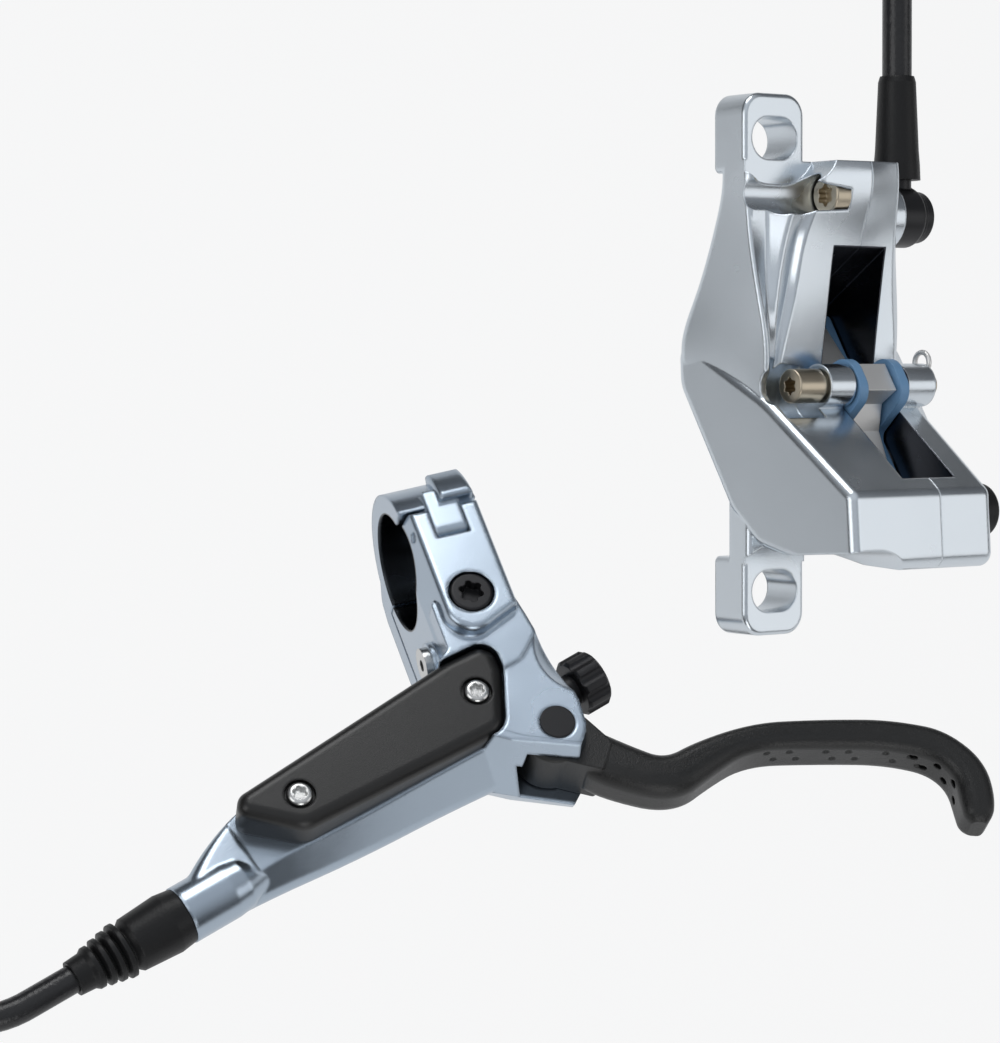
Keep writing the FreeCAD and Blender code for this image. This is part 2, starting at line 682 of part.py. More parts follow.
save("lever_blade", drill_blade(make_blade()))
pivot_seat = V(pivot_x, pivot_y, jaw_top - pivot_cap_depth)
pivot_shaft = cylinder(pivot_radius, V(pivot_x, pivot_y, jaw_bottom + 0.2), upward, pivot_seat.z - jaw_bottom)
save("pivot_pin", fuse([pivot_shaft, cylinder(pivot_cap_radius, pivot_seat, upward, pivot_cap_depth + 0.2)]))
bushings = [tube(bushing_radius, pivot_radius + running_clearance, V(pivot_x, pivot_y, start), upward,
                 bushing_height) for start in (blade_low, blade_high - bushing_height)]
save("pivot_bushings", Part.makeCompound(bushings))

# Trunnion: turning barrel in the blade, with a cross hole for the pushrod
trunnion = cylinder(trunnion_radius, V(trunnion_x, trunnion_y, blade_low), upward,
                    trunnion_roof - free_clearance - blade_low)
save("trunnion", trunnion.cut(cylinder(pushrod_radius + running_clearance, at(0, 0), bore_axis, FAR)))

# Pushrod: ball tip in the piston, threaded shaft through the trunnion, with the reach knob on its end
knob_end_u = knob_start_u + knob_thickness
pushrod = fuse([cylinder(pushrod_radius, at(pushrod_tip_u, 0), bore_axis, knob_end_u - 1.5 - pushrod_tip_u),
                Part.makeSphere(pushrod_radius + 0.35, at(pushrod_tip_u, 0))])
save("pushrod", pushrod)


def make_knob():
    grip = turned([(knob_start_u, 0), (knob_start_u, knob_radius - 0.5), (knob_start_u + 0.5, knob_radius),
                   (knob_end_u - 0.5, knob_radius), (knob_end_u, knob_radius - 0.5),
                   (knob_end_u, knob_radius - 1.2), (knob_end_u - 0.9, knob_radius - 1.8),
                   (knob_end_u - 0.9, 0)], bore_end, bore_axis)
    reach = knob_radius + knob_flute_radius - knob_flute_depth
    for flute in range(knob_flutes):
        angle = 2 * math.pi * flute / knob_flutes
        start = at(knob_start_u - 1, reach * math.cos(angle), reach * math.sin(angle))
        grip = grip.cut(cylinder(knob_flute_radius, start, bore_axis, knob_thickness + 2))
    neck = cylinder(knob_neck_radius, at(knob_start_u - 1.6, 0), bore_axis, 1.8)
    return fuse([grip, neck]).cut(cylinder(pushrod_radius, at(0, 0), bore_axis, knob_end_u - 1.5))


save("reach_knob", make_knob())

# Master piston with its two seals, stop ring and return spring
piston_front_u = piston_back_u - piston_length
land = bore_radius - running_clearance
seal_front = piston_front_u + 2.0
seal_back = piston_back_u - 2.0 - seal_width
groove_radius = land - 1.2
piston = turned([(piston_front_u, 0), (piston_front_u, land), (seal_front, land), (seal_front, groove_radius),
                 (seal_front + seal_width, groove_radius), (seal_front + seal_width, land),
                 (seal_front + seal_width + 1.2, land), (seal_front + seal_width + 2.2, piston_waist_radius),
                 (seal_back - 2.2, piston_waist_radius), (seal_back - 1.2, land), (seal_back, land),
                 (seal_back, groove_radius), (seal_back + seal_width, groove_radius),
                 (seal_back + seal_width, land), (piston_back_u, land), (piston_back_u, 0)],
                bore_end, bore_axis)
cup_bottom = pushrod_tip_u - pushrod_radius - 0.45
cup = cylinder(pushrod_radius + 0.95, at(cup_bottom, 0), bore_axis, FAR)
save("master_piston", piston.cut(cup))
for name, start in (("primary_seal", seal_front), ("secondary_seal", seal_back)):
    save(name, tube(land + 0.02, groove_radius, at(start, 0), bore_axis, seal_width))
save("piston_stop_ring", tube(stop_ring_radius - 0.02, pushrod_radius + 1.35,
                              at(piston_back_u + free_clearance, 0), bore_axis, stop_ring_width))
spring_room = piston_front_u - bore_start - 2 * spring_wire_radius - 0.1
coil_radius = bore_radius - spring_wire_radius - 0.5
helix = Part.makeHelix(spring_room / spring_turns, spring_room, coil_radius)
wire_end = Part.Wire(Part.makeCircle(spring_wire_radius, V(coil_radius, 0, 0), V(0, 1, 0)))
spring = Part.Wire(helix).makePipeShell([wire_end], True, True)
spring_start = at(bore_start + spring_wire_radius + 0.05, 0)
spring.Placement = FreeCAD.Placement(spring_start, FreeCAD.Rotation(upward, bore_axis))
save("piston_return_spring", spring)

# Hose fitting at the lever: nut, olive, barb and rubber boot
nut = fuse([cylinder(port_radius - thread_clearance, at(0, 0), bore_axis, nut_length),
            cylinder(nut_head_radius, at(-nut_head_length, 0), bore_axis, nut_head_length)])
save("compression_nut", nut.cut(cylinder(hose_radius + 0.06, at(-FAR, 0), bore_axis, 2 * FAR)))
hose_end_u = nut_length + olive_length
save("olive", tube(port_radius - 0.1, hose_radius + 0.02, at(nut_length, 0), bore_axis, olive_length))
save("hose_barb", tube(hose_radius, outlet_radius, at(hose_end_u, 0), bore_axis, port_depth - hose_end_u))


def make_lever_boot():
    rib_start = boot_length * 0.52
    rib_pitch = (boot_length - 3.0 - rib_start) / boot_ribs
    outline = [(0.0, boot_radius - 0.4), (3.0, boot_radius), (rib_start - 1.2, boot_radius - 0.5)]
    for rib in range(boot_ribs):
        start = rib_start + rib * rib_pitch
        crest = boot_radius - 0.4 - rib * 0.38
        outline += [(start, crest - 1.1), (start + rib_pitch * 0.25, crest), (start + rib_pitch * 0.7, crest)]
    outline += [(boot_length - 2.8, boot_tail_radius), (boot_length, boot_tail_radius - 0.2)]
    inner = hose_radius + 0.06
    outline += [(boot_length, inner), (nut_head_length + 0.1, inner),
                (nut_head_length + 0.1, nut_head_radius + 0.05), (0.0, nut_head_radius + 0.05)]
    return turned(outline, at(0, 0), bore_axis * -1)


save("lever_hose_boot", make_lever_boot())

# Caliper, built in its own frame and then placed
caliper_turn = FreeCAD.Rotation(caliper_yaw, caliper_pitch, caliper_roll)
caliper_place = FreeCAD.Placement(V(*caliper_origin), caliper_turn)


def save_caliper(name, shape):
    placed = shape.copy()
    placed.Placement = caliper_place.multiply(placed.Placement)
    save(name, placed)


inboard = V(1, 0, 0)
lean = math.radians(pad_lean)
pad_along = V(0, -math.sin(lean), -math.cos(lean))
pad_out = V(0, -math.cos(lean), math.sin(lean))
pin_centre = V(0, pin_y, pin_z)
pad_edge = pin_centre - pad_out * pin_above_pad


def pad_point(x, along, out):
    return V(x, 0, 0) + pad_edge + pad_along * along + pad_out * out


def pad_block(x_low, x_high, outline, radii):
    wire = rounded_wire([pad_point(x_low, along, out) for along, out in outline], radii)
    return Part.Face(wire).extrude(inboard * (x_high - x_low))


# Sections of the outboard column, from the top down. Corners: seam rear, rear, outer rear, ridge, scoop,
# rib, groove, bar, seam front
outboard_sections = [
    (33.4, [(rotor_x, 0.5), (2.0, 0.4), (-6.2, -0.6), (-6.4, -7.8), (-3.0, -8.3), (0.6, -11.9), (2.6, -12.5),
            (5.0, -13.4), (rotor_x, -14.2)]),
    (27.0, [(rotor_x, 1.5), (2.0, 1.2), (-6.5, -0.8), (-6.5, -8.2), (-2.8, -8.6), (0.4, -12.2), (2.6, -12.6),
            (5.0, -13.4), (rotor_x, -14.0)]),
    (21.0, [(rotor_x, 4.0), (2.0, 3.4), (-6.9, 0.8), (-6.5, -9.0), (-2.8, -8.8), (-0.8, -11.4), (2.0, -10.6),
            (3.0, -11.9), (rotor_x, -12.0)]),
    (14.0, [(rotor_x, 8.0), (2.0, 7.0), (-7.5, 3.0), (-6.6, -10.8), (-3.6, -9.6), (-2.0, -11.0), (1.0, -9.8),
            (2.0, -11.0), (rotor_x, -10.4)]),
    (6.0, [(rotor_x, 12.0), (2.0, 10.6), (-8.4, 6.2), (-6.0, -12.4), (-4.4, -11.1), (-2.6, -10.9),
           (-0.6, -9.3), (0.4, -10.3), (rotor_x, -8.8)]),
    (-6.0, [(rotor_x, 10.4), (2.0, 9.0), (-6.0, 2.5), (-5.8, -11.4), (-4.6, -10.3), (-2.8, -9.7),
            (-1.2, -8.8), (-0.4, -9.2), (rotor_x, -7.6)])]
outboard_radii = [0.0, 3.0, 1.6, 0.5, 0.8, 0.8, 0.0, 0.7, 0.0]

# Sections of the inboard column. Corners: seam rear, rear, outer rear, outer front, front, seam front
inboard_sections = [
    (33.4, [(rotor_x, 0.5), (21.0, 0.3), (23.6, -1.5), (23.4, -11.4), (21.4, -13.8), (rotor_x, -14.2)]),
    (27.0, [(rotor_x, 1.5), (22.5, 1.0), (25.0, -1.0), (23.8, -11.0), (22.0, -13.2), (rotor_x, -14.0)]),
    (21.0, [(rotor_x, 4.0), (24.0, 3.0), (27.0, 0.0), (24.2, -10.2), (22.6, -11.8), (rotor_x, -12.0)]),
    (14.0, [(rotor_x, 8.0), (26.5, 6.5), (29.4, 3.0), (25.2, -9.4), (23.2, -10.6), (rotor_x, -10.4)]),
    (6.0, [(rotor_x, 12.0), (27.6, 10.6), (30.4, 6.0), (26.2, -8.6), (24.4, -9.6), (rotor_x, -8.8)]),
    (-6.0, [(rotor_x, 10.4), (25.0, 8.6), (26.0, 3.0), (25.4, -7.4), (24.0, -8.6), (rotor_x, -7.6)])]
inboard_radii = [0.0, 2.6, 2.4, 1.4, 1.0, 0.0]

# Side outline of the slab that holds the pads and ends in the nose, across and up
slab_outline = [(8.2, 5.6), (7.8, -3.4), (-3.8, -23.6), (-10.0, -29.4), (-21.0, caliper_bottom + 0.6),
                (nose_front - 0.6, caliper_bottom), (nose_front + 0.2, -20.4), (-12.3, -5.7)]
slab_radii = [2.6, 6.0, 6.0, 5.0, 4.0, 2.4, 2.2, 16.0]

half_gap = rotor_gap / 2
plate_face = half_gap + lining_thickness
piston_face = plate_face + plate_thickness
bore_bottom = piston_face + caliper_piston_length + piston_retract
piston_middle = pad_edge - pad_out * piston_inset
piston_centres = [piston_middle + pad_along * (side * piston_pitch / 2) for side in (-1, 1)]


def make_column(sections, radii):
    """Smooth column through level sections, with its long edges rounded."""
    rings = [[V(x, y, z) for x, y in corners] for z, corners in sections]
    column = Part.makeLoft([Part.makePolygon(ring + ring[:1]) for ring in rings], True, False, False, 3)
    for index, radius in enumerate(radii):
        top, low = rings[0][index], rings[-1][index]
        if radius:
            column = soften(column, radius, lambda e: e.firstVertex().Point.distanceToPoint(top) < 0.01
                            and e.lastVertex().Point.distanceToPoint(low) < 0.01
                            or e.firstVertex().Point.distanceToPoint(low) < 0.01
                            and e.lastVertex().Point.distanceToPoint(top) < 0.01)
    return column


def make_slab(far_x, normal):
    """Slab from the seam out to a flank plane, with soft edges all round the flank."""
    low = min(rotor_x, far_x + 6.0 * normal.x)
    high = max(rotor_x, far_x + 6.0 * normal.x)
    wire = rounded_wire([V(low, y, z) for y, z in slab_outline], slab_radii)
    slab = Part.Face(wire).extrude(inboard * (high - low))
    flank = V(far_x, 0, 0)
    slab = slab.cut(keep_below(flank, normal))
    return soften(slab, slab_edge, lambda e: abs((e.CenterOfMass - flank).dot(normal)) < 0.02)


def make_bank(side):
    """Round-ended block over the two pistons, drawn in towards its outer end."""
    wires = []
    for reach, wall in ((0.0, bank_wall), (bore_bottom - 1.0, bank_wall), (bore_bottom + bank_floor, 0.2)):
        radius = piston_radius + square_seal + wall
        x = rotor_x + side * reach
        first, last = [V(x, 0, 0) + centre for centre in piston_centres]
        out = pad_out * radius
        end = pad_along * radius
        wires.append(Part.Wire([Part.makeLine(first + out, last + out),
                                Part.Arc(last + out, last + end, last - out).toShape(),
                                Part.makeLine(last - out, first - out),
                                Part.Arc(first - out, first - end, first + out).toShape()]))
    return Part.makeLoft(wires, True, True)


def cut_pad_slot(half):
    """Cut the slot that the pads and the rotor run in."""
    slot = pad_block(rotor_x - pocket_half, rotor_x + pocket_half,
                     [(-pad_slot_half, -60), (pad_slot_half, -60), (pad_slot_half, 60), (-pad_slot_half, 60)],
                     [0.0] * 4)
    return half.cut(slot)


def bore_pistons(half, side):
    """Piston bores with their seal grooves."""
    direction = inboard * side
    for centre in piston_centres:
        start = V(rotor_x, 0, 0) + centre
        half = half.cut(cylinder(piston_radius + running_clearance, start, direction, bore_bottom))
        groove = start + direction * (pocket_half + seal_setback)
        half = half.cut(cylinder(piston_radius + square_seal, groove, direction, square_seal + 0.1))
    return half


def slot_block(radius, offset, middle, near_y, far_y):
    """Round-ended block along the mounting bolt, for the bolt slot and for the face round it."""
    return fuse([cylinder(radius, V(-offset, near_y, middle), V(0, -1, 0), near_y - far_y),
                 cylinder(radius, V(offset, near_y, middle), V(0, -1, 0), near_y - far_y),
                 box((-offset, far_y, middle - radius), (offset, near_y, middle + radius))])


def make_ear(side, neck_back):
    """Mounting ear on a neck that is set back from the mounting face."""
    half = ear_width / 2
    reach = side * (mount_spacing / 2 + ear_reach)
    root = side * (mount_spacing / 2 - ear_root)
    points = [V(-half, 0, root), V(half, 0, root), V(half, 0, reach), V(-half, 0, reach)]
    ear = Part.Face(rounded_wire(points, [1.0, 1.0, ear_corner, ear_corner])).extrude(V(0, -ear_thickness, 0))
    ear = soften(ear, ear_edge, lambda e: abs(e.CenterOfMass.y + ear_thickness) < 0.01)
    inner = side * (mount_spacing / 2 - ear_root - 10.0)
    neck = box((-half, neck_front, min(inner, root + side)), (half, neck_back, max(inner, root + side)))
    return ear, soften(neck, neck_edge, lambda e: abs(abs(e.CenterOfMass.x) - half) < 0.01 and e.Length > 8)


def make_outboard():
    column = make_column(outboard_sections, outboard_radii)
    slab = make_slab(outboard_flank_x, V(-1, -flank_slope, 0).normalize())
    upper_ear, upper_neck = make_ear(1, upper_neck_back)
    lower_ear, lower_neck = make_ear(-1, lower_neck_back)
    body = fuse([column, slab, make_bank(-1), upper_neck, lower_neck])
    offset = (slot_length - slot_width) / 2
    for side in (1, -1):
        body = body.cut(slot_block(spot_radius, offset, side * mount_spacing / 2, -ear_thickness, -60.0))
    body = cut_pad_slot(body)
    pin_room = V(pin_pocket_x, pin_y + 0.6, pin_z - 0.6)
    body = body.cut(cylinder(pin_pocket_radius, pin_room, inboard, pin_boss_x - pin_pocket_x))
    body = body.cut(cylinder(pin_head_radius + free_clearance, V(-30, pin_y, pin_z), inboard,
                             30 + pin_boss_x))
    boss = cylinder(pin_boss_radius, V(pin_boss_x, pin_y, pin_z), inboard,
                    rotor_x - pocket_half - pin_boss_x)
    root = pad_block(pin_boss_x + 0.2, rotor_x - pocket_half, boss_root, [0.0] * 4)
    body = fuse([body, boss, root, upper_ear, lower_ear])
    for side in (1, -1):
        body = body.cut(slot_block(slot_width / 2, offset, side * mount_spacing / 2, 1.0, -60.0))
    body = body.cut(cylinder(pin_radius + thread_clearance, V(-30, pin_y, pin_z), inboard, 60))
    top_head = V(top_head_x, top_bolt_y, top_bolt_z)
    body = body.cut(cylinder(body_head_radius + free_clearance, top_head - inboard * 30, inboard,
                             30 + body_head_height))
    body = body.cut(cylinder(body_bolt_radius + 0.1, top_head, inboard, 30))
    low_thread = V(low_bolt_x - 1.0, low_bolt_y, low_bolt_z)
    body = body.cut(cylinder(body_bolt_radius + thread_clearance, low_thread, inboard, 30))
    body = body.cut(cylinder(seal_recess_radius, seal_seat - inboard * 0.55, inboard, 30))
    return bore_pistons(body, -1)


def make_inboard():
    column = make_column(inboard_sections, inboard_radii)
    slab = make_slab(inboard_flank_x, inboard)
    banjo_boss = cylinder(banjo_radius + 0.6, V(20.8, banjo_y, banjo_z), inboard, banjo_seat_x - 20.8)
    body = cut_pad_slot(fuse([column, slab, make_bank(1)]))
    boss_start = rotor_x + pocket_half
    boss = cylinder(pin_boss_radius, V(boss_start, pin_y, pin_z), inboard, inboard_boss_length)
    root = pad_block(boss_start, boss_start + inboard_boss_length - 0.2, boss_root, [0.0] * 4)
    body = fuse([body, boss, root, banjo_boss])
    bleed_seat = V(bleed_seat_x, bleed_y, bleed_z)
    body = body.cut(cylinder(bleed_cap_radius + free_clearance, bleed_seat, inboard, 30))
    bleed_depth = bleed_seat_x - bleed_bottom_x + 0.2
    body = body.cut(cylinder(bleed_thread_radius + thread_clearance, bleed_seat - inboard * bleed_depth,
                             inboard, 30))
    body = body.cut(cylinder(pin_radius + running_clearance, V(0, pin_y, pin_z), inboard, 60))
    banjo_bottom = V(banjo_seat_x - banjo_thread_depth - 0.8, banjo_y, banjo_z)
    body = body.cut(cylinder(banjo_bolt_radius + thread_clearance, banjo_bottom, inboard, 30))
    top_thread = V(rotor_x - 1, top_bolt_y, top_bolt_z)
    body = body.cut(cylinder(body_bolt_radius + thread_clearance, top_thread, inboard, top_bolt_reach + 1.4))
    low_head = V(low_head_x - body_head_height, low_bolt_y, low_bolt_z)
    body = body.cut(cylinder(body_head_radius + free_clearance, low_head, inboard, 30))
    body = body.cut(cylinder(body_bolt_radius + 0.1, V(rotor_x - 1, low_bolt_y, low_bolt_z), inboard, 30))
    body = body.cut(cylinder(seal_recess_radius, seal_seat - inboard, inboard, 1.55))
    return bore_pistons(body, 1)


seal_seat = V(rotor_x, seal_seat_y, seal_seat_z)
save_caliper("caliper_outboard_body", make_outboard())
save_caliper("caliper_inboard_body", make_inboard())
save_caliper("transfer_seal", tube(seal_recess_radius - 0.05, 1.3, seal_seat - inboard * 0.52, inboard, 1.04))

# Body bolts: the upper one from the outboard side, the lower one from the inboard side
upper_bolt = screw(V(top_head_x, top_bolt_y, top_bolt_z), inboard * -1, body_head_radius, body_head_height,
                   body_bolt_radius, rotor_x + top_bolt_reach - top_head_x - body_head_height, 1.9, 0.4)
lower_bolt = screw(V(low_head_x, low_bolt_y, low_bolt_z), inboard, body_head_radius, body_head_height,
                   body_bolt_radius, low_head_x - body_head_height - low_bolt_x, 1.9, 0.4)
save_caliper("caliper_body_bolts", Part.makeCompound([upper_bolt, lower_bolt]))

# Pistons, square seals and pads, the same on both sides of the rotor
plate_outline = [(-plate_half, -plate_depth + 3), (-plate_half + 3, -plate_depth),
                 (plate_half - 3, -plate_depth), (plate_half, -plate_depth + 3), (plate_half, 0), (5.6, 0),
                 (3.9, pin_above_pad + 3.6),
                 (-3.9, pin_above_pad + 3.6), (-5.6, 0), (-plate_half, 0)]
plate_radii = [1.0, 1.0, 1.0, 1.0, 1.2, 1.8, 3.4, 3.4, 1.8, 1.2]
lining_outline = [(-plate_half + 1, -plate_depth + 3.2), (-plate_half + 3.6, -plate_depth + 0.6),
                  (plate_half - 3.6, -plate_depth + 0.6), (plate_half - 1, -plate_depth + 3.2),
                  (plate_half - 1, -0.8), (-plate_half + 1, -0.8)]
for side, name in ((-1, "outboard"), (1, "inboard")):
    direction = inboard * side
    pistons = []
    seals = []
    for centre in piston_centres:
        start = V(rotor_x, 0, 0) + centre + direction * piston_face
        piston = cylinder(piston_radius, start, direction, caliper_piston_length)
        hollow = cylinder(piston_radius - 1.6, start, direction, caliper_piston_length - 2.4)
        pistons.append(piston.cut(hollow))
        seal_start = V(rotor_x, 0, 0) + centre + direction * (pocket_half + seal_setback + 0.05)
        seals.append(tube(piston_radius + square_seal - 0.05, piston_radius + running_clearance, seal_start,
                          direction, square_seal))
    save_caliper(name + "_pistons", Part.makeCompound(pistons))
    save_caliper(name + "_piston_seals", Part.makeCompound(seals))
    low, high = sorted((rotor_x + side * plate_face, rotor_x + side * piston_face))
    plate = pad_block(low, high, plate_outline, plate_radii)
    plate = plate.cut(cylinder(pin_radius + seat_clearance, V(0, pin_y, pin_z), inboard, FAR))
    save_caliper(name + "_pad_plate", plate)
    low, high = sorted((rotor_x + side * half_gap, rotor_x + side * plate_face))
    save_caliper(name + "_pad_lining", pad_block(low, high, lining_outline, [0.8] * 6))


# Pad spring: a leaf hooked over the pin, with two wings that lie on the linings
def make_pad_spring():
    saddle = pin_radius + 0.12 + spring_strip
    top = pin_above_pad
    inner = pin_radius + 0.12
    right = [(saddle, top + saddle), (saddle, top - 1.6), (6.0, 2.2), (15.5, 0.5), (15.5, 0.1),
             (6.0, 2.2 - spring_strip), (inner, top - 1.9), (inner, top + inner)]
    left = [(-along, out) for along, out in reversed(right)]
    points = [pad_point(rotor_x - 3.0, along, out) for along, out in right + left]
    strip = Part.Face(Part.makePolygon(points + points[:1])).extrude(inboard * 6.0)
    return strip.cut(cylinder(pin_radius + 0.1, V(0, pin_y, pin_z), inboard, FAR))


save_caliper("pad_spring", make_pad_spring())

# Pad pin with a six-lobed head, and the wire clip that locks it
pin_top = V(pin_head_x, pin_y, pin_z)
pad_pin = screw(pin_top, inboard * -1, pin_head_radius, pin_head_length, pin_radius,
                pin_end_x - pin_head_x - pin_head_length, 1.5, 0.3)
clip_x = pin_end_x - 1.0
clip_groove = V(clip_x - clip_wire - 0.05, pin_y, pin_z)
pad_pin = pad_pin.cut(tube(pin_radius + 1, pin_radius - 0.4, clip_groove, inboard, 2 * clip_wire + 0.1))
save_caliper("pad_pin", pad_pin)
ring = Part.makeTorus(pin_radius + 0.1, clip_wire, V(clip_x, pin_y, pin_z), inboard)
loop = Part.makeTorus(1.7, clip_wire, V(clip_x, pin_y + 0.6, pin_z + pin_radius + 1.75), inboard)
save_caliper("pin_clip", fuse([ring, loop]))

# Hose end at the caliper: banjo, its bolt and two sealing washers
banjo_x = banjo_seat_x + washer_thickness
banjo_centre = V(banjo_x + banjo_thickness / 2, banjo_y, banjo_z)
neck_top_z = banjo_z + 8.2
banjo = fuse([cylinder(banjo_radius, V(banjo_x, banjo_y, banjo_z), inboard, banjo_thickness),
              cylinder(banjo_neck_radius, banjo_centre, upward, neck_top_z - banjo_z)])
banjo = soften(banjo, 0.9, lambda e: abs(e.CenterOfMass.x - banjo_x - banjo_thickness) < 0.01)
banjo = banjo.cut(cylinder(banjo_bolt_radius + running_clearance, V(0, banjo_y, banjo_z), inboard, FAR))
save_caliper("banjo_fitting", banjo)
washers = [tube(washer_radius, banjo_bolt_radius + running_clearance, V(start, banjo_y, banjo_z), inboard,
                washer_thickness) for start in (banjo_seat_x, banjo_x + banjo_thickness)]
save_caliper("banjo_washers", Part.makeCompound(washers))
bolt_seat = banjo_x + banjo_thickness + washer_thickness
bolt_top = V(bolt_seat + banjo_head_height, banjo_y, banjo_z)
save_caliper("banjo_bolt", screw(bolt_top, inboard, banjo_head_radius, banjo_head_height, banjo_bolt_radius,
                                 bolt_seat - banjo_seat_x + banjo_thread_depth, 2.4, 0.6))
boot_base = banjo_z + banjo_radius + 1.0
boot_top = neck_top_z + caliper_boot_length
boot_bore = hose_radius + 0.06
caliper_boot = turned([(boot_base, 4.0), (neck_top_z + 0.6, 3.9), (neck_top_z + 3.0, 3.7),
                       (boot_top - 1.0, 3.2), (boot_top, 2.9), (boot_top, boot_bore), (boot_base, boot_bore)],
                      V(banjo_centre.x, banjo_y, 0), upward)
save_caliper("caliper_hose_boot", caliper_boot)

# Bleed screw of the caliper under its rubber cap
bleed_seat = V(bleed_seat_x, bleed_y, bleed_z)
bleed_thread = bleed_seat_x - bleed_bottom_x
save_caliper("caliper_bleed_screw",
             fuse([cylinder(bleed_thread_radius, bleed_seat - inboard * bleed_thread, inboard, bleed_thread),
                   cylinder(bleed_head_radius, bleed_seat, inboard, bleed_head_length)]))
cap = cylinder(bleed_cap_radius, bleed_seat, inboard, bleed_cap_height)
cap = soften(cap, 0.9, lambda e: abs(e.CenterOfMass.x - bleed_seat_x - bleed_cap_height) < 0.01)
save_caliper("bleed_cap", cap.cut(cylinder(bleed_head_radius + 0.06, bleed_seat, inboard,
                                           bleed_head_length + 0.06)))

# Brake hose: from the olive out of the lever boot, round in one wide bow and down into the caliper boot
hose_top = caliper_place.multVec(V(banjo_centre.x, banjo_y, neck_top_z))
hose_up = caliper_place.Rotation.multVec(upward)
hose_points = [at(hose_end_u - 0.05, 0), at(-hose_straight, 0), *[V(*point) for point in hose_bow],
               hose_top + hose_up * hose_straight, hose_top]
hose_edges = []
last = hose_points[0]
for point, nearer, further in zip(hose_points[1:-1], hose_points[:-2], hose_points[2:]):
    reach = hose_bend_share * min((nearer - point).Length, (further - point).Length)
    before = (nearer - point).normalize()
    after = (further - point).normalize()
    half = before.getAngle(after) / 2
    radius = reach * math.tan(half)
    middle = (before + after).normalize()
    crown = point + middle * (radius / math.sin(half) - radius)
    hose_edges.append(Part.makeLine(last, point + before * reach))
    hose_edges.append(Part.Arc(point + before * reach, crown, point + after * reach).toShape())
    last = point + after * reach
hose_edges.append(Part.makeLine(last, hose_points[-1]))
hose_path = Part.Wire(hose_edges)
hose_face = Part.Wire(Part.makeCircle(hose_radius, hose_points[0], bore_axis))
save("brake_hose", hose_path.makePipeShell([hose_face], True, False))
print("hose length", round(hose_path.Length, 1))
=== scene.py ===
from math import radians

import bpy
from mathutils import Matrix, Vector


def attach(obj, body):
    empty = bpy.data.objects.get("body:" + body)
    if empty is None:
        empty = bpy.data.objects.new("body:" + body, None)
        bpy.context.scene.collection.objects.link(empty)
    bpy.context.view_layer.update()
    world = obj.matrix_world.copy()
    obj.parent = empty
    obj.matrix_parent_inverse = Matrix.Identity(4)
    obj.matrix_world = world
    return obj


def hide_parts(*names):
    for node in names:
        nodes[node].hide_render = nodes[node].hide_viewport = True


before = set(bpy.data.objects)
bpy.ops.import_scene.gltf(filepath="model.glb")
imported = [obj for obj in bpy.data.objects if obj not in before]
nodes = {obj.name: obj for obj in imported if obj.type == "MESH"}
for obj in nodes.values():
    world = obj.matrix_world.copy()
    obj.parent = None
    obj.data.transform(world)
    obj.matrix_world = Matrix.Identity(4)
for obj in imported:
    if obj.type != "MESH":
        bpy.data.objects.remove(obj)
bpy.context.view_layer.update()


# Camera
# The brake is seen from above and in front, from the inner end of the bar, as on a product page.
# The lens is long, so that the lever and the caliper above it keep nearly the same scale.
camera_right = Vector((0.9366, -0.3275, 0.1243))
camera_up = Vector((0.2163, 0.8198, 0.5302))
camera_back = camera_right.cross(camera_up)
bpy.ops.object.select_all(action="DESELECT")
bpy.ops.object.camera_add(location=(-0.15233, -0.27932, 0.50891))
camera = bpy.context.object
camera.name = "photo_camera"
camera.rotation_euler = Matrix((camera_right, camera_up, camera_back)).transposed().to_euler()
camera.data.lens = 111.0
camera.data.sensor_width = 36.0
camera.data.clip_start = 0.01
bpy.context.scene.camera = camera


# Studio floor
# A flat white sheet well below the brake, which hangs free as in a cut-out. The sheet glows faintly for
# the camera and in reflections, so that the polished flanks pick up a pale ground as they do in the photo.
def feed(tree, value, socket):
    """Links a node's output to a socket, or sets a number or a colour on it."""
    if isinstance(value, bpy.types.NodeSocket):
        tree.links.new(value, socket)
    else:
        socket.default_value = value


def reckon(tree, operation, first, second=0.0):
    """Result of a Math node."""
    node = tree.nodes.new("ShaderNodeMath")
    node.operation = operation
    feed(tree, first, node.inputs[0])
    feed(tree, second, node.inputs[1])
    return node.outputs["Value"]


def seen_share(tree, by_camera, in_metal):
    """Share of a backdrop's own white: one for the camera's view and one for reflections in metal."""
    ray = tree.nodes.new("ShaderNodeLightPath")
    viewed = reckon(tree, "MAXIMUM", ray.outputs["Is Camera Ray"], ray.outputs["Is Transmission Ray"])
    viewed = reckon(tree, "MULTIPLY", viewed, by_camera)
    mirrored = reckon(tree, "MULTIPLY", ray.outputs["Is Glossy Ray"], in_metal)
    return reckon(tree, "MAXIMUM", viewed, mirrored)


bpy.context.scene.view_settings.view_transform = "Standard"
bpy.ops.mesh.primitive_plane_add(size=6.0, location=(0, 0, -0.20))
floor = bpy.context.object
floor.name = "studio_floor"
paper = bpy.data.materials.new("white_paper")
paper.use_nodes = True
tree = paper.node_tree
shade = tree.nodes["Principled BSDF"]
shade.inputs["Base Color"].default_value = (0.9, 0.9, 0.9, 1)
shade.inputs["Roughness"].default_value = 0.9
glow = tree.nodes.new("ShaderNodeEmission")
glow.inputs["Color"].default_value = (1, 1, 1, 1)
glowing_paper = tree.nodes.new("ShaderNodeMixShader")
tree.links.new(seen_share(tree, by_camera=0.82, in_metal=0.42), glowing_paper.inputs["Fac"])
tree.links.new(shade.outputs["BSDF"], glowing_paper.inputs[1])
tree.links.new(glow.outputs["Emission"], glowing_paper.inputs[2])
tree.links.new(glowing_paper.outputs["Shader"], tree.nodes["Material Output"].inputs["Surface"])
